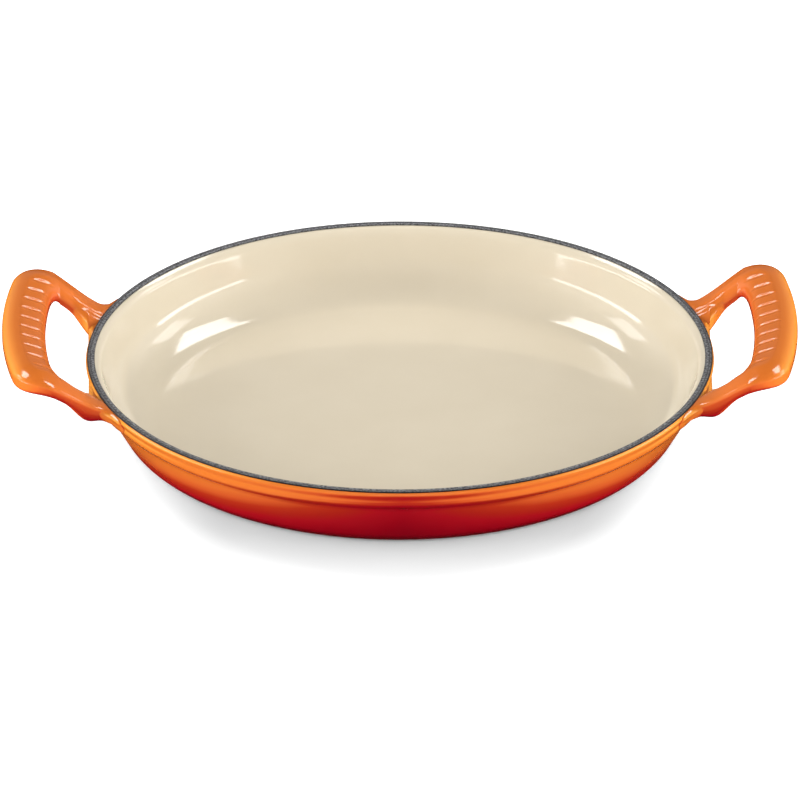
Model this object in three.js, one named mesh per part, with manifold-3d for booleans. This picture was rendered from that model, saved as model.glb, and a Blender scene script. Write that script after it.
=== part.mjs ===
// Shallow round baking dish of enamelled cast iron, with two loop handles.
// Millimetres, +Z up. The dish stands on z = 0 and its handles lie along +X and -X.
// One iron casting carries the fired coats: cream inside, orange outside, bare ground coat on rim and foot.

import * as THREE from 'three';
import { mergeVertices } from 'three/addons/utils/BufferGeometryUtils.js';
import Module from 'manifold-3d';

const wasm = await Module();
wasm.setup();

// Rim and height
const RIM_RADIUS = 127.5;
const RIM_BAND = 3.1;
const DISH_HEIGHT = 31.7;
const RIM_EDGE_ROUND = 0.3;

// Collar outside, measured from the rim
const COLLAR_BULGE = 0.5;
const BULGE_DROP = 1.7;
const WAIST_INSET = 0.9;
const WAIST_DROP = 3.9;
const BEAD_INSET = 0.5;
const BEAD_DROP = 5.5;
const UNDERCUT_INSET = 1.6;
const UNDERCUT_DROP = 7.2;
const STEP_INSET = 4.0;
const STEP_DROP = 9.6;

// Wall and base outside
const WALL_LEAN = THREE.MathUtils.degToRad(30);
const BASE_FILLET = 12;

// Inside
const LIP_ROUND = 5;
const LIP_TILT = THREE.MathUtils.degToRad(68);
const LINING_LEAN = THREE.MathUtils.degToRad(18);
const FLOOR_FILLET = 21;
const FLOOR_THICKNESS = 4.4;

// Foot ring and the recess inside it
const FOOT_WIDTH = 11;
const FOOT_STAND = 0.3;
const FOOT_SETBACK = 0.8;
const RECESS_DEPTH = 0.7;

// Coats and the clearance under them
const ENAMEL = 0.5;
const GROUND_COAT = 0.4;
const COAT_GAP = 0.1;

// Loop handles in plan: the reach is measured out from the rim, the lengths run along Y
const HANDLE_REACH = 34.6;
const HANDLE_LENGTH = 111.2;
const ROOT_LENGTH = 95.3;
const OUTER_BOW = 3.9;
const OUTER_CORNER_REACH = 14.2;
const OUTER_CORNER_RUN = 13.9;
const GRIP_WIDTH = 17.8;
const HOLE_LENGTH = 78.2;
const HOLE_BOW = 1.5;
const HOLE_CORNER_REACH = 3.4;
const HOLE_CORNER_RUN = 12.2;
const HOLE_SETBACK = 0.6;
const ROOT_FILLET = 5;
const HOLE_FILLET = 6;
const ROOT_SINK = 5;

// Loop handles in height, measured from the rim's top
const CREST_HEIGHT = 17.3;
const ROOT_DROP = 0.6;
const RISE_START = -12.5;
const RISE_END = 23.6;
const ARM_CROWN = 2.5;
const ARM_BELLY = 4.1;
const GRIP_CROWN = 3.9;
const GRIP_BELLY = 5;
const HOLE_DROOP = 4;
const OUTER_DROOP = 1.8;
const KNUCKLE_DEPTH = 3.1;
const KNUCKLE_REACH = 8.9;
const KNUCKLE_SPREAD = 7.6;
const CROWN_SOFTNESS = 0.5;
const BELLY_SOFTNESS = 0.71;

// Web that closes the hole towards the collar
const WEB_DROP = 1.7;
const WEB_THICKNESS = 4.8;
const WEB_DEPTH = 9;

// Scoop in the grip's top, and the flutes across it
const SCOOP_DEPTH = 0.8;
const SCOOP_LENGTH = 90;
const SCOOP_RUNOUT = 4;
const SCOOP_OFFSET = 1.8;
const FLUTES = 10;
const FLUTE_PITCH = 8.5;
const FLUTE_RADIUS = 12;
const FLUTE_DEPTH = 0.9;
const FLUTE_RUNOUT = 0.15;
const FLUTE_FADE = 0.5;
const FLUTE_OFFSET = 3.3;
const FLUTE_LENGTH = 9.8;
const FLUTE_BED = 1;

// Faceting
const TURN_STEPS = 40;
const SECTION_STEPS = 12;
const ARM_STEPS = 7;
const CORNER_STEPS = 5;
const GRIP_STEPS = 5;
const COLLAR_STEPS = 10;
const LIP_STEPS = 3;
const ARC_STEPS = 5;
const WEB_SIDES = 12;
const FLUTE_SIDES = 24;
const FLUTE_STEPS = 5;

const rimInner = RIM_RADIUS - RIM_BAND;
const coatTop = DISH_HEIGHT - GROUND_COAT - COAT_GAP;
const aboveRim = DISH_HEIGHT + CREST_HEIGHT;

// Profiles in the (radius, height) plane

function arcPoints(center, radius, from, to, steps = ARC_STEPS) {
  return new THREE.EllipseCurve(center.x, center.y, radius, radius, from, to, to < from).getPoints(steps);
}

// Outside of the coat from the rim's outer edge, over the collar's bulge, waist and bead, down to the base.
function outsideProfile() {
  const collarPoint = (inset, drop) => new THREE.Vector2(RIM_RADIUS - inset, DISH_HEIGHT - drop);
  const collar = new THREE.SplineCurve([
    new THREE.Vector2(RIM_RADIUS, coatTop),
    collarPoint(-COLLAR_BULGE, BULGE_DROP),
    collarPoint(WAIST_INSET, WAIST_DROP),
    collarPoint(BEAD_INSET, BEAD_DROP),
    collarPoint(UNDERCUT_INSET, UNDERCUT_DROP),
    collarPoint(STEP_INSET, STEP_DROP),
  ]).getPoints(COLLAR_STEPS);
  const step = collar.at(-1);
  const filletTop = FOOT_STAND + BASE_FILLET * (1 - Math.sin(WALL_LEAN));
  const wallFoot = step.x - (step.y - filletTop) * Math.tan(WALL_LEAN);
  const center = new THREE.Vector2(wallFoot - BASE_FILLET * Math.cos(WALL_LEAN), FOOT_STAND + BASE_FILLET);
  return [...collar, ...arcPoints(center, BASE_FILLET, -WALL_LEAN, -Math.PI / 2)];
}

// Inside of the dish from the rim's inner edge, over the rounded lip, down the wall and fillet to the floor.
function insideProfile() {
  const lipCenter = new THREE.Vector2(
    rimInner + LIP_ROUND * Math.cos(LIP_TILT),
    coatTop - LIP_ROUND * Math.sin(LIP_TILT),
  );
  const lip = arcPoints(lipCenter, LIP_ROUND, Math.PI - LIP_TILT, Math.PI - LINING_LEAN, LIP_STEPS);
  const lipEnd = lip.at(-1);
  const filletTop = FLOOR_THICKNESS + FLOOR_FILLET * (1 - Math.sin(LINING_LEAN));
  const wallFoot = lipEnd.x - (lipEnd.y - filletTop) * Math.tan(LINING_LEAN);
  const center = new THREE.Vector2(
    wallFoot - FLOOR_FILLET * Math.cos(LINING_LEAN),
    FLOOR_THICKNESS + FLOOR_FILLET,
  );
  return [...lip, ...arcPoints(center, FLOOR_FILLET, -LINING_LEAN, -Math.PI / 2)];
}

// A profile that runs down from the rim, moved out from the axis by a distance. Its two ends stay level with
// the rim and plumb with the base.
function offsetProfile(points, distance) {
  return points.map((point, i) => {
    if (i === 0) {
      return new THREE.Vector2(point.x + distance, point.y);
    }
    if (i === points.length - 1) {
      return new THREE.Vector2(point.x, point.y - distance);
    }
    const before = point.clone().sub(points[i - 1]).normalize();
    const after = points[i + 1].clone().sub(point).normalize();
    const along = before.add(after).normalize();
    return new THREE.Vector2(-along.y, along.x).multiplyScalar(distance / along.dot(after)).add(point);
  });
}

// Solids

function revolve(points) {
  return new THREE.LatheGeometry(points, TURN_STEPS).rotateX(Math.PI / 2);
}

function toSolid(geometry) {
  const bare = geometry.clone();
  bare.deleteAttribute('normal');
  bare.deleteAttribute('uv');
  const merged = mergeVertices(bare);
  return new wasm.Manifold(new wasm.Mesh({
    numProp: 3,
    vertProperties: new Float32Array(merged.attributes.position.array),
    triVerts: new Uint32Array(merged.index.array),
  }));
}

function toGeometry(solid) {
  const mesh = solid.getMesh();
  const geometry = new THREE.BufferGeometry();
  geometry.setAttribute('position', new THREE.BufferAttribute(mesh.vertProperties, 3));
  geometry.setIndex(new THREE.BufferAttribute(mesh.triVerts, 1));
  geometry.computeVertexNormals();
  return geometry;
}

// A profile that runs down from the rim, filled to the axis and closed at a top and a bottom height.
function plug(points, top, bottom) {
  return toSolid(revolve([
    new THREE.Vector2(0, bottom),
    new THREE.Vector2(points.at(-1).x, bottom),
    ...points.slice().reverse(),
    new THREE.Vector2(points[0].x, top),
    new THREE.Vector2(0, top),
  ]));
}

// Handle

// Height of the handle's top above the rim's top, at a distance out from the dish's axis.
function handleLift(reach) {
  const share = (reach - RIM_RADIUS - RISE_START) / (RISE_END - RISE_START);
  const rise = (1 - Math.cos(Math.PI * THREE.MathUtils.clamp(share, 0, 1))) / 2;
  return THREE.MathUtils.lerp(-ROOT_DROP, CREST_HEIGHT, rise);
}

// One edge of the loop in plan: from a root out along its arm, round the corner, along the bowed grip and back.
function loopEdge({ rootY, armY, gripX, bow, reach, run }) {
  const flip = (point) => new THREE.Vector2(point.x, -point.y);
  const root = new THREE.Vector2(Math.sqrt((RIM_RADIUS - ROOT_SINK) ** 2 - rootY ** 2), rootY);
  const gripEnd = new THREE.Vector2(gripX - bow, armY - run);
  const corner = new THREE.Vector2(gripEnd.x - 2 * run * bow / gripEnd.y, armY);
  const armEnd = new THREE.Vector2(corner.x - reach, armY);
  const crown = new THREE.Vector2(gripX + bow, 0);
  const arm = new THREE.LineCurve(root, armEnd).getPoints(ARM_STEPS);
  const bend = new THREE.QuadraticBezierCurve(armEnd, corner, gripEnd).getPoints(CORNER_STEPS);
  const grip = new THREE.QuadraticBezierCurve(gripEnd, crown, flip(gripEnd)).getPoints(GRIP_STEPS);
  const half = [...arm, ...bend.slice(1)];
  return [...half, ...grip.slice(1, -1), ...half.map(flip).reverse()];
}

const outerEdge = {
  rootY: ROOT_LENGTH / 2,
  armY: HANDLE_LENGTH / 2,
  gripX: RIM_RADIUS + HANDLE_REACH,
  bow: OUTER_BOW,
  reach: OUTER_CORNER_REACH,
  run: OUTER_CORNER_RUN,
};
const holeEdge = {
  rootY: HOLE_LENGTH / 2,
  armY: HOLE_LENGTH / 2,
  gripX: outerEdge.gripX - GRIP_WIDTH,
  bow: HOLE_BOW,
  reach: HOLE_CORNER_REACH,
  run: HOLE_CORNER_RUN,
};

// The section turns from arm to grip between these two reaches.
const gripStart = holeEdge.gripX - HOLE_BOW - HOLE_CORNER_REACH;
const gripFull = (holeEdge.gripX + outerEdge.gripX) / 2 - HOLE_BOW;

// The hole's side towards the dish is straight, and lies this far out.
const holeSide = RIM_RADIUS - HOLE_SETBACK;

// Sideways flare of a round fillet, at a distance out from what it runs into. An inset draws in the fillet and
// the edge that it comes from.
function filletFlare(radius, distance, inset) {
  const rest = THREE.MathUtils.clamp(radius - distance, 0, radius + inset);
  return radius - Math.sqrt((radius + inset) ** 2 - rest ** 2);
}

// A soft-cornered oblong, with tighter corners above than below: how far across and how far up it lies at an
// angle, each from -1 to 1.
function softOblong(angle) {
  const softness = Math.sin(angle) > 0 ? CROWN_SOFTNESS : BELLY_SOFTNESS;
  const soften = (value) => Math.sign(value) * Math.abs(value) ** softness;
  return { across: soften(Math.cos(angle)), up: soften(Math.sin(angle)) };
}

// Depth of the scoop that the flutes lie in: it deepens towards the hole and runs out at the ends of the grip.
function scoopDepth(across, y) {
  const start = 2 * SCOOP_OFFSET / GRIP_WIDTH;
  const inward = Math.max(start - across, 0) / (1 + start);
  return SCOOP_DEPTH * inward * THREE.MathUtils.smoothstep(SCOOP_LENGTH / 2 - Math.abs(y), 0, SCOOP_RUNOUT);
}

// A point of the handle's skin between a point of the hole's edge and one of the outer edge. Fillets flare the
// roots, a knuckle deepens the arms beside them. The loop droops to its hole and the grip to its outside too.
function skinPoint(hole, outer, { across, up }, inset, bed) {
  const middle = hole.clone().add(outer).multiplyScalar(0.5);
  const outward = outer.clone().sub(hole).normalize();
  const flare = across < 0
    ? filletFlare(HOLE_FILLET, hole.x - holeSide, inset)
    : filletFlare(ROOT_FILLET, outer.length() - RIM_RADIUS, inset);
  const reach = hole.distanceTo(outer) / 2 + flare;
  const flat = outward.multiplyScalar(across * reach).add(middle);
  const grip = THREE.MathUtils.smoothstep(middle.x, gripStart, gripFull);
  const offKnuckle = Math.min(Math.abs(middle.length() - RIM_RADIUS - KNUCKLE_REACH) / KNUCKLE_SPREAD, 1);
  const knuckle = KNUCKLE_DEPTH * (1 + Math.cos(Math.PI * offKnuckle)) / 2;
  const crown = THREE.MathUtils.lerp(ARM_CROWN, GRIP_CROWN, grip);
  const belly = THREE.MathUtils.lerp(ARM_BELLY, GRIP_BELLY, grip) + knuckle;
  const droop = (across < 0 ? HOLE_DROOP : OUTER_DROOP * grip) * across ** 2;
  const core = DISH_HEIGHT + handleLift(middle.x) - crown - droop;
  const sunk = inset + grip * (bed + scoopDepth(across, flat.y));
  const rise = up > 0 ? up * (crown - sunk) : up * (belly - inset);
  return new THREE.Vector3(flat.x, flat.y, core + rise);
}

// Skins a row of rings and closes both ends.
function loft(rings) {
  const count = rings[0].length;
  const last = (rings.length - 1) * count;
  const index = [];
  for (let r = 0; r < last; r += count) {
    for (let i = 0; i < count; i += 1) {
      const a = r + i;
      const b = r + (i + 1) % count;
      index.push(a, b, a + count, b, b + count, a + count);
    }
  }
  for (let i = 1; i < count - 1; i += 1) {
    index.push(0, i + 1, i, last, last + i, last + i + 1);
  }
  const geometry = new THREE.BufferGeometry().setFromPoints(rings.flat());
  geometry.setIndex(index);
  return geometry;
}

// A row of round-bottomed flutes across the inner half of the grip's top. Each follows the scoop and runs out at
// both its ends. The flutes grow shorter and shallower towards the ends of the row.
function fluteCutters() {
  const gripEdge = ({ armY, gripX, bow, run }, y) => new THREE.Vector2(gripX - bow * (y / (armY - run)) ** 2, y);
  const crownAt = (y, across) => {
    const place = softOblong(Math.acos(Math.sign(across) * Math.abs(across) ** (1 / CROWN_SOFTNESS)));
    return skinPoint(gripEdge(holeEdge, y), gripEdge(outerEdge, y), place, 0, 0);
  };
  const lastY = FLUTE_PITCH * (FLUTES - 1) / 2;
  const ringAt = (y, share) => {
    const fade = 1 - FLUTE_FADE * (y / lastY) ** 4;
    const inward = FLUTE_OFFSET - FLUTE_LENGTH * fade * (share - 0.5);
    const crown = crownAt(y, -2 * inward / GRIP_WIDTH);
    const depth = FLUTE_DEPTH * fade * Math.sin(Math.PI * share) - FLUTE_RUNOUT;
    return Array.from({ length: FLUTE_SIDES }, (_, i) => {
      const angle = 2 * Math.PI * i / FLUTE_SIDES;
      const lift = FLUTE_RADIUS * (1 + Math.sin(angle)) - depth;
      return new THREE.Vector3(crown.x, y + FLUTE_RADIUS * Math.cos(angle), crown.z + lift);
    });
  };
  return Array.from({ length: FLUTES }, (_, i) => {
    const y = i * FLUTE_PITCH - lastY;
    const shares = Array.from({ length: FLUTE_STEPS + 1 }, (_, k) => k / FLUTE_STEPS);
    return toSolid(loft(shares.map((share) => ringAt(y, share))));
  });
}

// A round-nosed bar along the hole's straight side, from inside one arm to inside the other, which runs back
// into the collar.
function holeWeb(inset) {
  const radius = WEB_THICKNESS / 2 - inset;
  const nose = new THREE.Vector2(holeSide - WEB_THICKNESS / 2, DISH_HEIGHT - WEB_DROP - WEB_THICKNESS / 2);
  const barAt = (x) => wasm.Manifold.cylinder(HOLE_LENGTH + HOLE_FILLET, radius, radius, WEB_SIDES, true)
    .rotate([90, 0, 0])
    .translate([x, 0, nose.y]);
  return wasm.Manifold.hull([barAt(nose.x), barAt(nose.x - WEB_DEPTH)]);
}

// Both handles, drawn in by an inset and kept clear of the rim's band. The second is the first turned half round.
function handles(inset, bed, cutters) {
  const outer = loopEdge(outerEdge);
  const places = Array.from({ length: SECTION_STEPS }, (_, i) => softOblong(2 * Math.PI * i / SECTION_STEPS));
  const rings = loopEdge(holeEdge).map((hole, i) => (
    places.map((place) => skinPoint(hole, outer[i], place, inset, bed))
  ));
  const bandEdge = new THREE.Vector2(RIM_RADIUS + COAT_GAP + inset, coatTop - inset);
  const overRim = plug([bandEdge], aboveRim, bandEdge.y);
  const loop = toSolid(loft(rings)).add(holeWeb(inset));
  const handle = [overRim, ...cutters].reduce((solid, cutter) => solid.subtract(cutter), loop);
  return handle.add(handle.rotate([0, 0, 180]));
}

// Pieces

const outside = outsideProfile();
const inside = insideProfile();
const footOuter = outside.at(-1).x - FOOT_SETBACK;
const footInner = footOuter - FOOT_WIDTH;

// Bowl and handles in one casting, drawn in from the finished faces by the coats.
function ironCasting() {
  const drawnIn = ENAMEL + COAT_GAP;
  const wall = offsetProfile(outside, -drawnIn);
  const bowl = plug(wall, coatTop, wall.at(-1).y);
  const footBottom = GROUND_COAT + COAT_GAP;
  const foot = plug([new THREE.Vector2(footOuter, FLOOR_THICKNESS / 2)], FLOOR_THICKNESS / 2, footBottom);
  const recess = plug([new THREE.Vector2(footInner, 0)], RECESS_DEPTH + drawnIn, 0);
  const cavity = offsetProfile(inside, drawnIn);
  return bowl
    .add(foot)
    .add(handles(drawnIn, FLUTE_BED, []))
    .subtract(recess)
    .subtract(plug(cavity, aboveRim, cavity.at(-1).y));
}

// The coat over the wall, the collar and both handles: one skin, open at the rim and at the foot.
function exteriorEnamel() {
  const underside = offsetProfile(outside, -ENAMEL);
  const skin = plug(outside, coatTop, FOOT_STAND).add(handles(0, 0, fluteCutters()));
  const core = plug(underside, aboveRim, -FOOT_STAND).add(handles(ENAMEL, FLUTE_BED, []));
  return skin.subtract(core);
}

// The lining runs over the whole floor and ends under the rim's band.
function interiorEnamel() {
  const underside = offsetProfile(inside, ENAMEL);
  return revolve([
    new THREE.Vector2(0, underside.at(-1).y),
    ...underside.slice().reverse(),
    ...inside,
    new THREE.Vector2(0, FLOOR_THICKNESS),
  ]);
}

// The bare band on the rim's top, with softly rounded edges.
function rimGroundCoat() {
  const bottom = DISH_HEIGHT - GROUND_COAT;
  const inner = new THREE.Vector2(rimInner + RIM_EDGE_ROUND, DISH_HEIGHT - RIM_EDGE_ROUND);
  const outer = new THREE.Vector2(RIM_RADIUS - RIM_EDGE_ROUND, DISH_HEIGHT - RIM_EDGE_ROUND);
  return revolve([
    new THREE.Vector2(rimInner, bottom),
    new THREE.Vector2(RIM_RADIUS, bottom),
    ...arcPoints(outer, RIM_EDGE_ROUND, 0, Math.PI / 2, 2),
    ...arcPoints(inner, RIM_EDGE_ROUND, Math.PI / 2, Math.PI, 2),
    new THREE.Vector2(rimInner, bottom),
  ]);
}

// The bare ring that the dish stands on.
function footGroundCoat() {
  return revolve([
    new THREE.Vector2(footInner, 0),
    new THREE.Vector2(footOuter, 0),
    new THREE.Vector2(footOuter, GROUND_COAT),
    new THREE.Vector2(footInner, GROUND_COAT),
    new THREE.Vector2(footInner, 0),
  ]);
}

// The coat on the recessed underside, inside the foot ring.
function undersideEnamel() {
  const edge = footInner - COAT_GAP;
  return revolve([
    new THREE.Vector2(0, RECESS_DEPTH),
    new THREE.Vector2(edge, RECESS_DEPTH),
    new THREE.Vector2(edge, RECESS_DEPTH + ENAMEL),
    new THREE.Vector2(0, RECESS_DEPTH + ENAMEL),
  ]);
}

const dish = new THREE.Group();

function addPiece(name, geometry, color, roughness, metalness) {
  const material = new THREE.MeshStandardMaterial({ color, roughness, metalness });
  const piece = new THREE.Mesh(geometry, material);
  piece.name = name;
  dish.add(piece);
}

addPiece('iron_casting', toGeometry(ironCasting()), 0x3a3a3c, 0.8, 0.6);
addPiece('exterior_enamel', toGeometry(exteriorEnamel()), 0xd9531e, 0.15, 0);
addPiece('interior_enamel', interiorEnamel(), 0xe6dcc6, 0.12, 0);
addPiece('rim_ground_coat', rimGroundCoat(), 0x5f6060, 0.55, 0);
addPiece('foot_ground_coat', footGroundCoat(), 0x4a4a4a, 0.6, 0);
addPiece('underside_enamel', undersideEnamel(), 0x9c1018, 0.2, 0);

export default dish;
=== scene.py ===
# A shallow round baking dish of enamelled cast iron with two fluted loop handles, on a pale studio floor.

import math

import bpy
import numpy as np
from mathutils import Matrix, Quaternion, Vector


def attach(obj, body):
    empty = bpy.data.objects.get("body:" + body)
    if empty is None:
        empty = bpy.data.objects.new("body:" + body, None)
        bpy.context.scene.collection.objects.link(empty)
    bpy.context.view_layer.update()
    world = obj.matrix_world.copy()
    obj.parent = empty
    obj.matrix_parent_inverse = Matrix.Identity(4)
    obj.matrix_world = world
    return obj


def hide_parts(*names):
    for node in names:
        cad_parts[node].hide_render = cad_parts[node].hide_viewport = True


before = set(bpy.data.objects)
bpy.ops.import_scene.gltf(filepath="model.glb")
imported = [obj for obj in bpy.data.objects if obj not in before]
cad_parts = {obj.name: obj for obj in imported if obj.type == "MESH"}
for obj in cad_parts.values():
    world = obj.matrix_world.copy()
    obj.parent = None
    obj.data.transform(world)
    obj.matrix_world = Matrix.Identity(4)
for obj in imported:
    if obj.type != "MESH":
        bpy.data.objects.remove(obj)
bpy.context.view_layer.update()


# Iron casting
# Bowl and both handles are one casting of grey iron, poured in sand and shot-blasted before enamelling.
# The coats hide all of it, so the solid of the frame stays and only gets its sandy, dull grey skin.

def start_finish(name):
    finish = bpy.data.materials.new(name)
    finish.use_nodes = True
    tree = finish.node_tree
    return finish, tree, tree.nodes["Principled BSDF"]


def wire(tree, kind, sockets=None, **settings):
    node = tree.nodes.new(kind)
    for key, value in settings.items():
        setattr(node, key, value)
    for key, value in (sockets or {}).items():
        if isinstance(value, bpy.types.NodeSocket):
            tree.links.new(value, node.inputs[key])
        else:
            node.inputs[key].default_value = value
    return node


def sand_grain(tree, place, grains_per_metre, detail=3.0, roughness=0.55):
    return wire(tree, "ShaderNodeTexNoise", {
        "Vector": place, "Scale": grains_per_metre, "Detail": detail, "Roughness": roughness,
    }).outputs["Fac"]


def spread(tree, value, start, end, low, high, kind="LINEAR"):
    return wire(tree, "ShaderNodeMapRange", {
        "Value": value, "From Min": start, "From Max": end, "To Min": low, "To Max": high,
    }, interpolation_type=kind).outputs["Result"]


def between(tree, share, low, high):
    return spread(tree, share, 0.3, 0.7, low, high)


def shades(tree, share, *stops):
    ramp = wire(tree, "ShaderNodeValToRGB", {"Fac": share})
    points = ramp.color_ramp.elements
    while len(points) < len(stops):
        points.new(0.5)
    for point, (where, colour) in zip(points, stops):
        point.position = where
        point.color = (*colour, 1)
    return ramp.outputs["Color"]


def roughen(tree, shader, height, strength, distance):
    bump = wire(tree, "ShaderNodeBump", {"Height": height, "Strength": strength, "Distance": distance})
    tree.links.new(bump.outputs["Normal"], shader.inputs["Normal"])


cast_iron, tree, shader = start_finish("cast_iron")
place = wire(tree, "ShaderNodeTexCoord").outputs["Object"]
sand = sand_grain(tree, place, 900)
tree.links.new(shades(tree, sand, (0.3, (0.026, 0.026, 0.028)), (0.7, (0.06, 0.058, 0.056))),
               shader.inputs["Base Color"])
tree.links.new(between(tree, sand, 0.55, 0.8), shader.inputs["Roughness"])
roughen(tree, shader, sand, 0.6, 0.0003)
shader.inputs["Metallic"].default_value = 0.6
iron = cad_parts["iron_casting"]
iron.data.materials.clear()
iron.data.materials.append(cast_iron)


# Outside coat of the bowl
# Glass enamel sprayed on the casting and fired: orange at the top, shaded to deep red towards the base.
# It follows the turned shape: a rounded collar with a soft bead, a step back, and a wall leaning in to the base.
# Its colour also carries painted light and shade: faces turned up or out towards the side lamps are painted more
# orange, and faces turned down more red.

MM = 0.001
RIM_RADIUS = 127.5
DISH_HEIGHT = 31.7
COAT_TOP = 31.2
ENAMEL = 0.5


def arc(centre, radius, start, end, steps):
    angles = np.radians(np.linspace(start, end, steps + 1))
    return np.column_stack([centre[0] + radius * np.cos(angles), centre[1] + radius * np.sin(angles)])


def smooth_line(points, steps):
    points = np.array(points, float)
    before = np.vstack([points[:1], points[:-1]])
    after = np.vstack([points[1:], points[-1:]])
    later = np.vstack([after[1:], after[-1:]])
    t = np.linspace(0, 1, steps, endpoint=False)[:, None]
    drawn = [
        0.5 * (2 * points[i] + (after[i] - before[i]) * t
               + (2 * before[i] - 5 * points[i] + 4 * after[i] - later[i]) * t ** 2
               + (3 * points[i] - before[i] - 3 * after[i] + later[i]) * t ** 3)
        for i in range(len(points) - 1)
    ]
    return np.vstack([*drawn, points[-1:]])


def move_in(points, distance):
    along = np.gradient(points, axis=0)
    along /= np.linalg.norm(along, axis=1)[:, None]
    moved = points + distance * np.column_stack([along[:, 1], -along[:, 0]])
    moved[0] = points[0] + (-distance, 0)
    return moved


WALL_LEAN = 30
BASE_FILLET = 12
FOOT_STAND = 0.3
collar = smooth_line([
    (RIM_RADIUS, COAT_TOP),
    (RIM_RADIUS + 0.5, DISH_HEIGHT - 1.7),
    (RIM_RADIUS - 0.55, DISH_HEIGHT - 3.9),
    (RIM_RADIUS - 0.88, DISH_HEIGHT - 5.5),
    (RIM_RADIUS - 1.6, DISH_HEIGHT - 7.2),
    (RIM_RADIUS - 4.0, DISH_HEIGHT - 9.6),
], 8)
lean = math.radians(WALL_LEAN)
fillet_top = FOOT_STAND + BASE_FILLET * (1 - math.sin(lean))
wall_foot = collar[-1, 0] - (collar[-1, 1] - fillet_top) * math.tan(lean)
base = arc((wall_foot - BASE_FILLET * math.cos(lean), FOOT_STAND + BASE_FILLET), BASE_FILLET, -WALL_LEAN, -90, 20)
wall = collar[-1] + np.linspace(0, 1, 9)[1:-1, None] * (base[0] - collar[-1])
outside = np.vstack([collar, wall, base])


def sum_in(tree, operation, *terms):
    return wire(tree, "ShaderNodeMath", dict(enumerate(terms)), operation=operation).outputs[0]


def parts_of(tree, vector):
    return wire(tree, "ShaderNodeSeparateXYZ", {0: vector}).outputs


def turning_tree():
    tree = bpy.data.node_groups.new("turned_on_the_dish_axis", "GeometryNodeTree")
    face = tree.interface
    face.new_socket("Profile", in_out="INPUT", socket_type="NodeSocketGeometry")
    for name, kind in (("Path Radius", "NodeSocketFloat"), ("Turn Steps", "NodeSocketInt"),
                       ("Crisp Angle", "NodeSocketFloat"), ("Finish", "NodeSocketMaterial")):
        face.new_socket(name, in_out="INPUT", socket_type=kind)
    face.new_socket("Turned", in_out="OUTPUT", socket_type="NodeSocketGeometry")
    given = wire(tree, "NodeGroupInput").outputs
    spot = parts_of(tree, wire(tree, "GeometryNodeInputPosition").outputs[0])
    past_path = sum_in(tree, "SUBTRACT", spot["X"], given["Path Radius"])
    down = sum_in(tree, "MULTIPLY", spot["Z"], -1.0)
    laid = wire(tree, "ShaderNodeCombineXYZ", {"X": past_path, "Y": down})
    section = wire(tree, "GeometryNodeSetPosition", {"Geometry": given["Profile"], "Position": laid.outputs[0]})
    section = wire(tree, "GeometryNodeMeshToCurve", {"Mesh": section.outputs[0]})
    path = wire(tree, "GeometryNodeCurvePrimitiveCircle",
                {"Resolution": given["Turn Steps"], "Radius": given["Path Radius"]})
    turned = wire(tree, "GeometryNodeCurveToMesh",
                  {"Curve": path.outputs["Curve"], "Profile Curve": section.outputs[0]})
    closed = wire(tree, "GeometryNodeMergeByDistance", {"Geometry": turned.outputs[0], "Distance": 2e-6})
    soft = wire(tree, "GeometryNodeSetShadeSmooth", {"Geometry": closed.outputs[0]}, domain="FACE")
    corner = wire(tree, "GeometryNodeInputMeshEdgeAngle").outputs["Unsigned Angle"]
    crisp = wire(tree, "FunctionNodeCompare", {0: corner, 1: given["Crisp Angle"]}, operation="GREATER_THAN")
    edged = wire(tree, "GeometryNodeSetShadeSmooth",
                 {"Geometry": soft.outputs[0], "Selection": crisp.outputs[0], "Shade Smooth": False}, domain="EDGE")
    real = wire(tree, "GeometryNodeRealizeInstances", {0: edged.outputs[0]})
    coated = wire(tree, "GeometryNodeSetMaterial", {"Geometry": real.outputs[0], "Material": given["Finish"]})
    wire(tree, "NodeGroupOutput", {"Turned": coated.outputs[0]})
    return tree


def made_by(tree, piece, values):
    modifier = piece.modifiers.new(tree.name, "NODES")
    modifier.node_group = tree
    for item in tree.interface.items_tree:
        if item.in_out == "INPUT" and item.name in values:
            modifier[item.identifier] = values[item.name]
    bpy.context.view_layer.update()
    graph = bpy.context.evaluated_depsgraph_get()
    mesh = bpy.data.meshes.new_from_object(piece.evaluated_get(graph))
    piece.modifiers.remove(modifier)
    piece.data = mesh
    mesh.name = piece.name
    return piece


def new_piece(name, points, edges=(), faces=()):
    mesh = bpy.data.meshes.new(name)
    mesh.from_pydata(np.asarray(points).tolist(), list(edges), list(faces))
    piece = bpy.data.objects.new(name, mesh)
    bpy.context.scene.collection.objects.link(piece)
    return piece


turning = turning_tree()


CRISP_ANGLE = 50


def turn(name, profile, finish, steps=288):
    points = np.column_stack([profile[:, 0], np.zeros(len(profile)), profile[:, 1]]) * MM
    piece = new_piece(name, points, [(i, (i + 1) % len(points)) for i in range(len(points))])
    return made_by(turning, piece, {
        "Path Radius": RIM_RADIUS * MM, "Turn Steps": steps, "Crisp Angle": math.radians(CRISP_ANGLE),
        "Finish": finish,
    })


def orange_peel(tree, place, shader, height, calm, hazy):
    ripple = sand_grain(tree, place, 260, detail=1.5)
    cloud = sand_grain(tree, place, 38, detail=2.0)
    roughen(tree, shader, ripple, 0.5, height)
    tree.links.new(between(tree, cloud, calm, hazy), shader.inputs["Roughness"])
    shader.inputs["IOR"].default_value = 1.5
    return cloud


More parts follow.
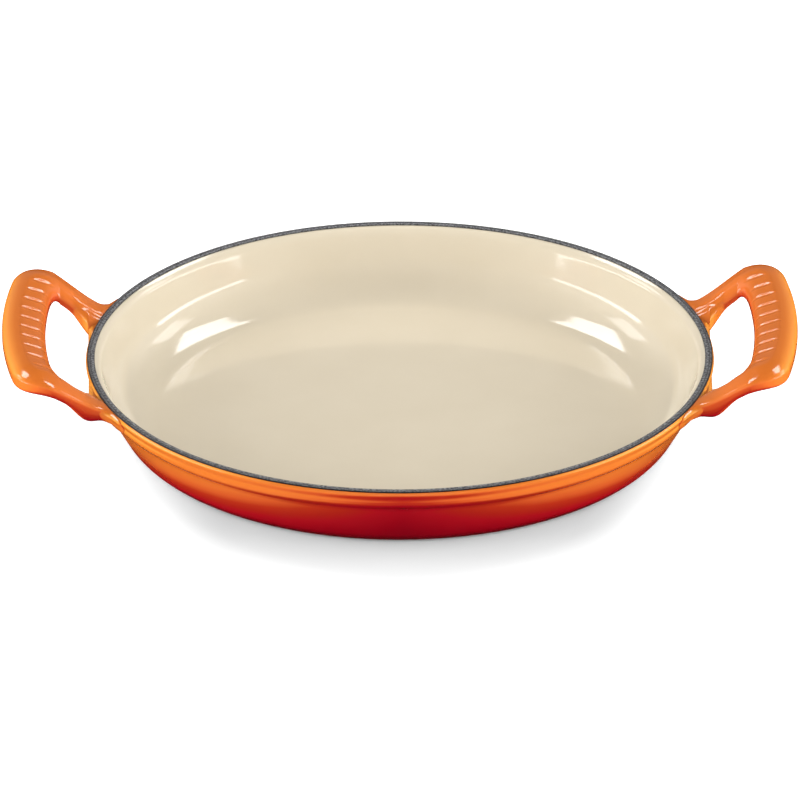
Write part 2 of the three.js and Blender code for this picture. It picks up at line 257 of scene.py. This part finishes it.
shaded_enamel, tree, shader = start_finish("shaded_orange_enamel")
coords = wire(tree, "ShaderNodeTexCoord").outputs
cloud = orange_peel(tree, coords["Object"], shader, 2e-5, 0.1, 0.17)
spot, facing = parts_of(tree, coords["Object"]), parts_of(tree, coords["Normal"])
faces_out = sum_in(tree, "MULTIPLY", facing["X"], sum_in(tree, "SIGN", spot["X"]))
faces_out = sum_in(tree, "MAXIMUM", faces_out, 0.0)
far_out = sum_in(tree, "ABSOLUTE", spot["X"])
handle_rise = spread(tree, far_out, 0.118, 0.151, 0.0, -0.016, "SMOOTHSTEP")
# Painted light and shade: the height gradient is pushed towards orange on faces turned up and towards red on faces
# turned down.
spray_and_painted_light = sum_in(tree, "MULTIPLY_ADD", facing["Z"], 0.045, sum_in(tree, "ADD", spot["Z"], handle_rise))
# Painted side light: faces turned outwards, towards the side lamps, are painted more orange, less on the handles
# and fading out towards the base.
painted_side_light = spread(tree, far_out, 0.125, 0.14, 0.1, 0.058)
painted_side_light = spread(tree, spot["Z"], 0.0, 0.02, 0.0, painted_side_light)
spray_and_painted_light = sum_in(tree, "MULTIPLY_ADD", faces_out, painted_side_light, spray_and_painted_light)
spray_and_painted_light = sum_in(tree, "MULTIPLY_ADD", cloud, 0.004, spray_and_painted_light)
tree.links.new(shades(
    tree, spread(tree, spray_and_painted_light, -0.03, 0.11, 0.0, 1.0),
    (0.04, (0.14, 0.0, 0.006)), (0.16, (0.25, 0.0, 0.006)), (0.26, (0.34, 0.003, 0.009)),
    (0.32, (0.34, 0.012, 0.006)), (0.39, (0.39, 0.024, 0.007)), (0.47, (0.54, 0.08, 0.016)),
    (0.55, (0.59, 0.118, 0.02)), (0.65, (0.59, 0.135, 0.02)), (0.86, (0.54, 0.137, 0.018)),
    (0.98, (0.62, 0.222, 0.031)),
), shader.inputs["Base Color"])

coat_of_bowl = turn("bowl_outside_coat", np.vstack([outside, move_in(outside, ENAMEL)[::-1]]), shaded_enamel, 576)
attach(coat_of_bowl, "root")
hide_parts("exterior_enamel")
coat_of_bowl.visible_diffuse = False


# Outside coat of the two handles
# The same sprayed enamel over the cast loops, which rise from the collar in an S and turn into a wide, flat grip.
# The grip is scooped towards its hole, with ten flutes across the scoop; fillets run the roots into the collar.

ARM_Y, ROOT_Y, HOLE_Y = 55.6, 47.65, 39.1
GRIP_WIDTH = 17.8
GRIP_X = RIM_RADIUS + 34.6
HOLE_X = GRIP_X - GRIP_WIDTH
HOLE_SIDE = RIM_RADIUS - 0.6
OUTER_BOW, HOLE_BOW = 3.9, 1.5
OUTER_CORNER, HOLE_CORNER = (14.2, 13.9), (3.4, 12.2)
ROOT_SINK = 5
HOLE_FILLET, ROOT_FILLET, UNDER_FILLET = 6, 5, 1.5
ROOT_LIP, ROOT_LIP_REACH, ROOT_BITE = 1.2, 1.5, 0.8
RISE_START, RISE_RUN, RISE_FOOT, RISE = 12.5, 36.1, -0.6, 17.9
KNUCKLE_OUT, KNUCKLE_REACH, KNUCKLE_DEPTH = 8.9, 7.6, 3.1
ARM_CROWN, MORE_CROWN = 2.5, 1.4
ARM_BELLY, MORE_BELLY = 4.1, 0.9
SCOOP_START = 2 * 1.8 / GRIP_WIDTH
SCOOP_DEPTH, SCOOP_END, SCOOP_FADE = 0.8, 45, 2.2
SCOOP_SLOPE, SCOOP_EASE = 2.2, 0.12
HOLE_DROOP, OUTER_DROOP = 4.0, 1.8
UNDER_RIM, RIM_CLIMB = 0.05, 1.3
FLUTES, FLUTE_PITCH, FLUTE_RADIUS, FLUTE_DEPTH = 10.0, 8.8, 2.8, 0.5
FLUTE_RUN_OUT, FLUTE_FADE = 0.05, 0.3
FLUTE_INWARD, FLUTE_LENGTH = 3.3, 10.8


def curve_through(start, pull, end, steps):
    t = np.linspace(0, 1, steps + 1)[:, None]
    return (1 - t) ** 2 * start + 2 * t * (1 - t) * pull + t ** 2 * end


def loop_edge(root_y, arm_y, grip_x, bow, corner):
    reach, run = corner
    root = np.array([math.sqrt((RIM_RADIUS - ROOT_SINK) ** 2 - root_y ** 2), root_y])
    grip_end = np.array([grip_x - bow, arm_y - run])
    bend = np.array([grip_end[0] - 2 * run * bow / grip_end[1], arm_y])
    arm_end = bend - (reach, 0)
    flip = np.array([1, -1])
    arm = root + np.linspace(0, 1, 61)[:, None] * (arm_end - root)
    corner_line = curve_through(arm_end, bend, grip_end, 40)
    grip_line = curve_through(grip_end, np.array([grip_x + bow, 0]), grip_end * flip, 420)
    half = np.vstack([arm, corner_line[1:]])
    return np.vstack([half, grip_line[1:-1], (half * flip)[::-1]]), len(arm)


def smooth_share(value, low, high):
    share = np.clip((value - low) / (high - low), 0, 1)
    return share * share * (3 - 2 * share)


def fillet(radius, distance, most=1):
    return radius * np.clip(1 - distance / radius, 0, most) ** 1.6


def collar_radius(height):
    return np.interp(height, outside[::-1, 1], outside[::-1, 0])


def soft_oblong(points):
    angles = np.linspace(0, 2 * math.pi, 4001)
    softness = np.where(np.sin(angles) > 0, 0.5, 0.71)
    wide = np.sign(np.cos(angles)) * np.abs(np.cos(angles)) ** softness
    tall = np.sign(np.sin(angles)) * np.abs(np.sin(angles)) ** softness
    walked = np.append(0, np.cumsum(np.hypot(np.diff(wide) * 2, np.diff(tall))))
    places = np.linspace(0, walked[-1], points, endpoint=False)
    return np.interp(places, walked, wide), np.interp(places, walked, tall)


outer_line, arm_rings = loop_edge(ROOT_Y, ARM_Y, GRIP_X, OUTER_BOW, OUTER_CORNER)
hole_line, _ = loop_edge(HOLE_Y, HOLE_Y, HOLE_X, HOLE_BOW, HOLE_CORNER)
across, up = soft_oblong(120)

middle = (hole_line + outer_line) / 2
span = outer_line - hole_line
half_width = np.linalg.norm(span, axis=1) / 2
outward = span / (2 * half_width[:, None])
grip = smooth_share(middle[:, 0], HOLE_X - HOLE_BOW - HOLE_CORNER[0], (HOLE_X + GRIP_X) / 2 - HOLE_BOW)[:, None]
climb = np.clip((middle[:, 0] - RIM_RADIUS + RISE_START) / RISE_RUN, 0, 1)
lift = RISE_FOOT + RISE * (1 - np.cos(math.pi * climb)) / 2
off_knuckle = np.abs(np.linalg.norm(middle, axis=1) - RIM_RADIUS - KNUCKLE_OUT)
off_knuckle = np.minimum(off_knuckle / KNUCKLE_REACH, 1)
knuckle = KNUCKLE_DEPTH * (1 + np.cos(math.pi * off_knuckle)) / 2
crown = ARM_CROWN + MORE_CROWN * grip
belly = ARM_BELLY + MORE_BELLY * grip + knuckle[:, None]

from_middle = np.abs(middle[:, 1:] + outward[:, 1:] * across * half_width[:, None])
into_scoop = np.maximum(SCOOP_START - across, 0)
scoop = SCOOP_DEPTH * (into_scoop / (1 + SCOOP_START)) * smooth_share(SCOOP_END - from_middle, 0, SCOOP_FADE)
plane = SCOOP_SLOPE * (np.hypot(into_scoop, SCOOP_EASE) - SCOOP_EASE)
hole_edge = plane + (HOLE_DROOP - plane[np.argmin(across)]) * across ** 8
slant = np.where(across < 0, hole_edge, plane + OUTER_DROOP * across ** 2)
droop = grip * slant + (1 - grip) * np.where(across < 0, HOLE_DROOP, 0.0) * across ** 2
height = DISH_HEIGHT + lift[:, None] - crown - droop + np.where(up > 0, up * (crown - grip * scoop), up * belly)

off_collar = np.linalg.norm(outer_line, axis=1)[:, None] - collar_radius(height)
root_flare = fillet(ROOT_FILLET, off_collar, 1.3) + ROOT_LIP * np.clip(1 - off_collar / ROOT_LIP_REACH, 0, 1.6) ** 2
flare = np.where(across < 0, fillet(HOLE_FILLET, hole_line[:, :1] - HOLE_SIDE), root_flare)
reach = across * (half_width[:, None] + flare)
flat = middle[:, None, :] + outward[:, None, :] * reach[:, :, None]
from_axis = np.linalg.norm(flat, axis=2)
height -= np.maximum(-up, 0) * fillet(UNDER_FILLET, from_axis - collar_radius(height))
height = np.minimum(height, COAT_TOP - UNDER_RIM + RIM_CLIMB * np.maximum(from_axis - RIM_RADIUS, 0))
skin = np.dstack([flat, height])


def sunk(line):
    deep = np.hypot(line[:, 0], line[:, 1]) - (collar_radius(line[:, 2]) - ROOT_BITE)
    first = max(np.argmax(deep > 0), 1)
    share = first - deep[first] / (deep[first] - deep[first - 1]) if deep[0] < 0 else 0.0
    where = share + np.linspace(0, 1, len(line)) * (len(line) - 1 - share)
    return np.column_stack([np.interp(where, np.arange(len(line)), line[:, k]) for k in range(3)])


for j in range(skin.shape[1]):
    skin[:arm_rings, j] = sunk(skin[:arm_rings, j])
    skin[-arm_rings:, j] = sunk(skin[-arm_rings:, j][::-1])[::-1]

rings, sides = skin.shape[:2]
number = np.arange(rings * sides).reshape(rings, sides)
here, beside = number[:-1], np.roll(number, -1, axis=1)[:-1]
ahead, ahead_beside = number[1:], np.roll(number, -1, axis=1)[1:]
skin_faces = np.stack([here, beside, ahead_beside, ahead], axis=2).reshape(-1, 4).tolist()
skin_faces += [number[0][::-1].tolist(), number[-1].tolist()]


def fluting_tree():
    tree = bpy.data.node_groups.new("flutes_across_the_grip", "GeometryNodeTree")
    face = tree.interface
    face.new_socket("Skin", in_out="INPUT", socket_type="NodeSocketGeometry")
    for name in ("Flutes", "Pitch", "Radius", "Depth", "Run Out", "Fade", "Middle", "Half Length"):
        face.new_socket(name, in_out="INPUT", socket_type="NodeSocketFloat")
    face.new_socket("Finish", in_out="INPUT", socket_type="NodeSocketMaterial")
    face.new_socket("Fluted", in_out="OUTPUT", socket_type="NodeSocketGeometry")
    given = wire(tree, "NodeGroupInput").outputs

    def sum_of(operation, *terms):
        return sum_in(tree, operation, *terms)

    def kept(name):
        return wire(tree, "GeometryNodeInputNamedAttribute", {"Name": name}, data_type="FLOAT").outputs["Attribute"]

    along = parts_of(tree, wire(tree, "GeometryNodeInputPosition").outputs[0])["Y"]
    last = sum_of("MULTIPLY", sum_of("SUBTRACT", given["Flutes"], 1.0), sum_of("MULTIPLY", given["Pitch"], 0.5))
    nearest = sum_of("ROUND", sum_of("DIVIDE", sum_of("ADD", along, last), given["Pitch"]))
    nearest = sum_of("MINIMUM", sum_of("MAXIMUM", nearest, 0.0), sum_of("SUBTRACT", given["Flutes"], 1.0))
    centre = sum_of("SUBTRACT", sum_of("MULTIPLY", nearest, given["Pitch"]), last)
    off_centre = sum_of("SUBTRACT", along, centre)
    flank = sum_of("DIVIDE", sum_of("MULTIPLY", off_centre, off_centre), sum_of("MULTIPLY", given["Radius"], 2.0))
    from_end = sum_of("POWER", sum_of("ABSOLUTE", sum_of("DIVIDE", centre, last)), 4.0)
    fade = sum_of("SUBTRACT", 1.0, sum_of("MULTIPLY", given["Fade"], from_end))
    half = sum_of("MULTIPLY", given["Half Length"], fade)
    share = sum_of("DIVIDE", sum_of("SUBTRACT", kept("across"), given["Middle"]), half)
    swell = sum_of("COSINE", sum_of("MULTIPLY", sum_of("MINIMUM", sum_of("ABSOLUTE", share), 1.0), math.pi / 2))
    swell = sum_of("POWER", sum_of("MAXIMUM", swell, 0.0), 0.5)
    bed = sum_of("SUBTRACT", sum_of("MULTIPLY", given["Depth"], swell), given["Run Out"])
    cut = sum_of("MAXIMUM", sum_of("SUBTRACT", bed, flank), 0.0)
    cut = sum_of("MULTIPLY", cut, kept("top"))
    move = wire(tree, "ShaderNodeCombineXYZ", {"Z": sum_of("MULTIPLY", cut, -1.0)})
    carved = wire(tree, "GeometryNodeSetPosition", {"Geometry": given["Skin"], "Offset": move.outputs[0]})
    soft = wire(tree, "GeometryNodeSetShadeSmooth", {"Geometry": carved.outputs[0]}, domain="FACE")
    real = wire(tree, "GeometryNodeRealizeInstances", {0: soft.outputs[0]})
    coated = wire(tree, "GeometryNodeSetMaterial", {"Geometry": real.outputs[0], "Material": given["Finish"]})
    wire(tree, "NodeGroupOutput", {"Fluted": coated.outputs[0]})
    return tree


fluting = fluting_tree()
for side, name in ((1, "handle_coat_right"), (-1, "handle_coat_left")):
    handle = new_piece(name, skin.reshape(-1, 3) * (side * MM, side * MM, MM), faces=skin_faces)
    for kept, values in (("across", np.tile(across, rings)), ("top", np.tile((up > 0).astype(float), rings))):
        handle.data.attributes.new(kept, "FLOAT", "POINT").data.foreach_set("value", values.astype(np.float32))
    made_by(fluting, handle, {
        "Flutes": FLUTES, "Pitch": FLUTE_PITCH * MM, "Radius": FLUTE_RADIUS * MM, "Depth": FLUTE_DEPTH * MM,
        "Run Out": FLUTE_RUN_OUT * MM, "Fade": FLUTE_FADE, "Middle": -2 * FLUTE_INWARD / GRIP_WIDTH,
        "Half Length": FLUTE_LENGTH / GRIP_WIDTH, "Finish": shaded_enamel,
    })
    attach(handle, "root")
    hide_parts("exterior_enamel")
    handle.visible_diffuse = False


# Webs at the handles' holes
# A round-nosed web of the same casting closes each hole towards the collar, between the two arms.
# It carries the same sprayed enamel and stands out of the collar only beside the roots.

WEB_THICKNESS, WEB_DROP, WEB_DEPTH, WEB_SINK = 4.8, 1.7, 9, 2.2
web_nose = (HOLE_SIDE - WEB_THICKNESS / 2, DISH_HEIGHT - WEB_DROP - WEB_THICKNESS / 2)
web_front = arc(web_nose, WEB_THICKNESS / 2, -90, 90, 20)
web_end = web_nose[0] - WEB_DEPTH
web_section = np.vstack([web_front, [(web_end, web_front[-1, 1]), (web_end, web_front[0, 1])]])
web_y = np.linspace(-1, 1, 41) * (HOLE_Y + HOLE_FILLET / 2)
web_back = np.sqrt((RIM_RADIUS - WEB_SINK) ** 2 - web_y ** 2)
web_skin = np.array([[(max(x, least), y, z) for x, z in web_section] for y, least in zip(web_y, web_back)])
web_number = np.arange(web_skin.shape[0] * web_skin.shape[1]).reshape(web_skin.shape[:2])
web_next = np.roll(web_number, -1, axis=1)
web_faces = np.stack([web_number[:-1], web_number[1:], web_next[1:], web_next[:-1]], axis=2).reshape(-1, 4).tolist()
web_faces += [web_number[0].tolist(), web_number[-1][::-1].tolist()]
for side, name in ((1, "web_coat_right"), (-1, "web_coat_left")):
    web = new_piece(name, web_skin.reshape(-1, 3) * (side * MM, side * MM, MM), faces=web_faces)
    web.data.materials.append(shaded_enamel)
    web.data.shade_smooth()
    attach(web, "root")
    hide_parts("exterior_enamel")
    web.visible_diffuse = False


# Lining
# Cream glass enamel, poured into the bowl, drained and fired: a rounded lip, a steep wall and a flat floor.
# It is thick and very smooth, so it mirrors the lamps in thin streaks round the wall.

LINING_LEAN = 18
LIP_ROUND, LIP_TILT = 5, 68
FLOOR_FILLET, FLOOR_THICKNESS = 21, 4.4
RIM_INNER = RIM_RADIUS - 3.1
tilt, slope = math.radians(LIP_TILT), math.radians(LINING_LEAN)
lip = arc((RIM_INNER + LIP_ROUND * math.cos(tilt), COAT_TOP - LIP_ROUND * math.sin(tilt)),
          LIP_ROUND, 180 - LIP_TILT, 180 - LINING_LEAN, 16)
curve_top = FLOOR_THICKNESS + FLOOR_FILLET * (1 - math.sin(slope))
wall_end = lip[-1, 0] - (lip[-1, 1] - curve_top) * math.tan(slope)
curve = arc((wall_end - FLOOR_FILLET * math.cos(slope), FLOOR_THICKNESS + FLOOR_FILLET),
            FLOOR_FILLET, -LINING_LEAN, -90, 32)
inner_wall = lip[-1] + np.linspace(0, 1, 8)[1:-1, None] * (curve[0] - lip[-1])
floor_line = np.column_stack([np.linspace(curve[-1, 0], 0, 12)[1:], np.full(11, FLOOR_THICKNESS)])
inside = np.vstack([lip, inner_wall, curve, floor_line])
inside_back = move_in(inside, -ENAMEL)
inside_back[-1] = (0, FLOOR_THICKNESS - ENAMEL)

cream_enamel, tree, shader = start_finish("cream_enamel")
place = wire(tree, "ShaderNodeTexCoord").outputs["Object"]
cloud = orange_peel(tree, place, shader, 2e-5, 0.075, 0.11)
tree.links.new(shades(tree, cloud, (0.25, (0.63, 0.555, 0.425)), (0.75, (0.65, 0.575, 0.445))),
               shader.inputs["Base Color"])

lining = turn("lining", np.vstack([inside, inside_back[::-1]]), cream_enamel)
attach(lining, "root")
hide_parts("interior_enamel")


# Rim band
# The rim is wiped clean of enamel before firing, which leaves a band of the dark matt ground coat.
# It is grainy, lighter grey towards the inner middle of its top, with a dark ring halfway across, and ends in
# darker lines beside the two enamels.

RIM_COAT = 0.4
ROUND = 0.3
band = np.vstack([
    [(RIM_RADIUS, DISH_HEIGHT - RIM_COAT)],
    arc((RIM_RADIUS - ROUND, DISH_HEIGHT - ROUND), ROUND, 0, 90, 6),
    arc((RIM_INNER + ROUND, DISH_HEIGHT - ROUND), ROUND, 90, 180, 6),
    [(RIM_INNER, DISH_HEIGHT - RIM_COAT)],
])
ground_coat, tree, shader = start_finish("bare_ground_coat")
place = wire(tree, "ShaderNodeTexCoord").outputs["Object"]
speck = sand_grain(tree, place, 1100, detail=2.0)
patch = sand_grain(tree, place, 160, detail=3.0)
spot = parts_of(tree, place)
flat_place = wire(tree, "ShaderNodeCombineXYZ", {"X": spot["X"], "Y": spot["Y"]}).outputs[0]
radius = wire(tree, "ShaderNodeVectorMath", {0: flat_place}, operation="LENGTH").outputs["Value"]
radius = sum_in(tree, "MULTIPLY_ADD", patch, 0.0004, radius)
zone = shades(
    tree, spread(tree, radius, RIM_INNER * MM, (RIM_RADIUS + 0.4) * MM, 0.0, 1.0),
    (0.0, (0.03, 0.028, 0.026)), (0.06, (0.05, 0.05, 0.05)), (0.16, (0.1, 0.1, 0.102)),
    (0.35, (0.135, 0.135, 0.14)), (0.48, (0.09, 0.09, 0.093)), (0.56, (0.025, 0.025, 0.027)),
    (0.64, (0.09, 0.09, 0.093)), (0.75, (0.09, 0.088, 0.088)), (0.82, (0.02, 0.019, 0.018)),
    (0.88, (0.006, 0.005, 0.005)), (1.0, (0.006, 0.005, 0.005)),
)
grain = shades(tree, speck, (0.38, (0.25, 0.25, 0.26)), (0.62, (1.9, 1.9, 1.9)))
mixed = wire(tree, "ShaderNodeMix", {0: 1.0, 6: zone, 7: grain}, data_type="RGBA", blend_type="MULTIPLY")
tree.links.new(mixed.outputs[2], shader.inputs["Base Color"])
tree.links.new(between(tree, patch, 0.5, 0.68), shader.inputs["Roughness"])
roughen(tree, shader, speck, 0.5, 8e-5)

rim_band = turn("rim_band", band, ground_coat)
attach(rim_band, "root")
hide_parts("rim_ground_coat")


# Underside coat
# The recessed disc inside the foot ring, sprayed in the deep red of the base and fired with the rest.
# It is hidden in use, and carries the same soft ripple as the walls.

RECESS = 0.7
FOOT_GAP, FOOT_WIDTH, DISC_GAP = 0.8, 11, 0.1
FOOT_OUTER = outside[-1, 0] - FOOT_GAP
FOOT_INNER = FOOT_OUTER - FOOT_WIDTH
disc_line = np.column_stack([np.linspace(FOOT_INNER - DISC_GAP, 0, 14), np.full(14, RECESS)])
disc = np.vstack([disc_line, disc_line[::-1] + (0, ENAMEL)])

deep_red_enamel, tree, shader = start_finish("deep_red_enamel")
place = wire(tree, "ShaderNodeTexCoord").outputs["Object"]
cloud = orange_peel(tree, place, shader, 5e-5, 0.14, 0.24)
tree.links.new(shades(tree, cloud, (0.25, (0.2, 0.002, 0.007)), (0.75, (0.27, 0.004, 0.009))),
               shader.inputs["Base Color"])

underside = turn("underside_coat", disc, deep_red_enamel)
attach(underside, "root")
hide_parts("underside_enamel")


# Foot ring
# The ring that the dish stands on, wiped like the rim, so its matt ground coat is bare.
# It is ground flat after firing and rubbed grey by worktops and oven shelves.

FOOT_COAT = 0.4
FOOT_ROUND = 0.12
foot = np.vstack([
    [(FOOT_OUTER, FOOT_COAT)],
    arc((FOOT_OUTER - FOOT_ROUND, FOOT_ROUND), FOOT_ROUND, 0, -90, 5),
    arc((FOOT_INNER + FOOT_ROUND, FOOT_ROUND), FOOT_ROUND, -90, -180, 5),
    [(FOOT_INNER, FOOT_COAT)],
])
rubbed_coat, tree, shader = start_finish("rubbed_ground_coat")
place = wire(tree, "ShaderNodeTexCoord").outputs["Object"]
speck = sand_grain(tree, place, 1200, detail=2.0)
patch = sand_grain(tree, place, 60, detail=4.0)
tree.links.new(shades(
    tree, patch, (0.3, (0.03, 0.03, 0.03)), (0.6, (0.07, 0.069, 0.068)), (0.75, (0.13, 0.128, 0.125)),
), shader.inputs["Base Color"])
tree.links.new(between(tree, patch, 0.62, 0.42), shader.inputs["Roughness"])
roughen(tree, shader, speck, 0.5, 6e-5)

foot_ring = turn("foot_ring", foot, rubbed_coat)
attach(foot_ring, "root")
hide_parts("foot_ground_coat")


# Studio
# A pale floor, a large soft lamp in front, soft lamps and low strips at both sides and panels high behind the dish.
# The floor keeps the dish's soft shadow close in front of it, and a painted glow lightens the floor further off and
# all but wipes the shadow out at the sides; only the side strips, the side panels and the high lamps are mirrored.
# The camera stands far off with a long lens, so the view is nearly parallel.

studio = bpy.context.scene
studio.view_settings.view_transform = "Standard"

FLOOR_REACH = 14
floor_points = [(x * FLOOR_REACH, y * FLOOR_REACH, 0) for x, y in ((-1, -1), (1, -1), (1, 1), (-1, 1))]
ground = new_piece("studio_floor", floor_points, faces=[(0, 1, 2, 3)])
white_floor, tree, shader = start_finish("white_floor")
tree.nodes.remove(shader)
seen = wire(tree, "ShaderNodeLightPath").outputs["Is Camera Ray"]
behind = wire(tree, "ShaderNodeNewGeometry").outputs["Backfacing"]
matt = wire(tree, "ShaderNodeBsdfDiffuse", {"Color": (0.9, 0.9, 0.9, 1)})
place = wire(tree, "ShaderNodeTexCoord").outputs["Object"]
from_dish = wire(tree, "ShaderNodeVectorMath", {0: place}, operation="LENGTH").outputs["Value"]
beside_dish = sum_in(tree, "ABSOLUTE", parts_of(tree, place)["X"])
# Painted light: the floor glows for the camera only, faintly next to the dish, more further off and most to either
# side of it, which thins the dish's shadow there.
fill = spread(tree, from_dish, 0.11, 0.15, 0.05, 0.28)
fill = spread(tree, beside_dish, 0.07, 0.13, fill, 0.75, "SMOOTHSTEP")
shine = wire(tree, "ShaderNodeEmission", {"Strength": sum_in(tree, "MULTIPLY", seen, fill)})
both = wire(tree, "ShaderNodeAddShader", {0: matt.outputs[0], 1: shine.outputs[0]})
clear = wire(tree, "ShaderNodeBsdfTransparent")
either = wire(tree, "ShaderNodeMixShader", {0: behind, 1: both.outputs[0], 2: clear.outputs[0]})
tree.links.new(either.outputs[0], tree.nodes["Material Output"].inputs["Surface"])
ground.data.materials.append(white_floor)
ground.visible_glossy = False

world = bpy.data.worlds.new("studio_air")
studio.world = world
world.use_nodes = True
tree = world.node_tree
rays = wire(tree, "ShaderNodeLightPath").outputs
away = parts_of(tree, wire(tree, "ShaderNodeTexCoord").outputs["Generated"])
cards = spread(tree, sum_in(tree, "ABSOLUTE", away["X"]), 0.5, 0.95, 0.2, 0.9, "SMOOTHSTEP")
cards = sum_in(tree, "MULTIPLY", cards, spread(tree, away["Z"], 0.3, 0.6, 1.0, 0.2))
screen = spread(tree, away["Z"], -0.02, 0.15, 0.08, cards)
mirrored = sum_in(tree, "MAXIMUM", rays["Is Glossy Ray"], rays["Is Transmission Ray"])
strength = wire(tree, "ShaderNodeMix", {0: mirrored, 2: 0.12, 3: screen}).outputs[0]
strength = wire(tree, "ShaderNodeMix", {0: rays["Is Camera Ray"], 2: strength, 3: 1.0}).outputs[0]
tree.links.new(strength, tree.nodes["Background"].inputs["Strength"])
over_floor = spread(tree, away["Z"], -0.02, 0.05, 0.0, 1.0)
warm = wire(tree, "ShaderNodeMix", {0: over_floor, 6: (1, 0.12, 0.06, 1), 7: (1, 1, 1, 1)}, data_type="RGBA")
tree.links.new(warm.outputs[2], tree.nodes["Background"].inputs["Color"])


def soft_lamp(name, place, aim, width, length, watts):
    light = bpy.data.lights.new(name, "AREA")
    light.shape = "RECTANGLE"
    light.size, light.size_y, light.energy = width, length, watts
    lamp = bpy.data.objects.new(name, light)
    lamp.location = place
    lamp.rotation_mode = "QUATERNION"
    lamp.rotation_quaternion = (Vector(place) - Vector(aim)).to_track_quat("Z", "Y")
    studio.collection.objects.link(lamp)
    return lamp


DISH_MIDDLE = (0, 0, 0.02)
for name, place, width, length, watts in (
        ("front_softbox", (0, -2.0, 1.1), 2.0, 1.2, 43),
        ("right_softbox", (1.3, -0.2, 0.55), 1.0, 0.3, 6),
        ("left_softbox", (-1.3, -0.2, 0.55), 1.0, 0.3, 6),
        ("rim_strip_right", (1.3, -0.4, 0.1), 1.0, 0.12, 4),
        ("rim_strip_left", (-1.3, -0.4, 0.1), 1.0, 0.12, 4),
        ("low_strip_right", (1.3, 0.25, 0.016), 1.0, 0.028, 14),
        ("low_strip_left", (-1.3, 0.25, 0.016), 1.0, 0.028, 14)):
    soft_lamp(name, place, DISH_MIDDLE, width, length, watts).visible_glossy = False
for side, name in ((1, "right"), (-1, "left")):
    soft_lamp("side_strip_" + name, (side * 1.5, -0.1, 0.28), (0, -0.1, 0.04), 1.3, 0.16, 5)
    soft_lamp("side_panel_" + name, (side * 1.29, 0.57, 0.75), (0, 0, 0.03), 0.5, 0.36, 2.2)
    soft_lamp("high_softbox_" + name, (side * 0.78, 0.82, 1.27), (0, 0, 0.03), 0.75, 0.42, 9.4)

ELEVATION, YAW, ROLL = math.radians(25.76), math.radians(-0.57), math.radians(-0.13)
VIEW_WIDTH, AIM_HEIGHT = 0.32613, 0.0117
back = Vector((math.sin(YAW) * math.cos(ELEVATION), -math.cos(YAW) * math.cos(ELEVATION), math.sin(ELEVATION)))
lens = bpy.data.cameras.new("studio_camera")
lens.lens, lens.sensor_width, lens.sensor_fit = 1650, 36, "HORIZONTAL"
lens.clip_start, lens.clip_end = 0.1, 100
camera = bpy.data.objects.new("studio_camera", lens)
camera.location = Vector((0, 0, AIM_HEIGHT)) + back * (VIEW_WIDTH * lens.lens / lens.sensor_width)
camera.rotation_mode = "QUATERNION"
camera.rotation_quaternion = (-back).to_track_quat("-Z", "Y") @ Quaternion((0, 0, 1), ROLL)
studio.collection.objects.link(camera)
studio.camera = camera
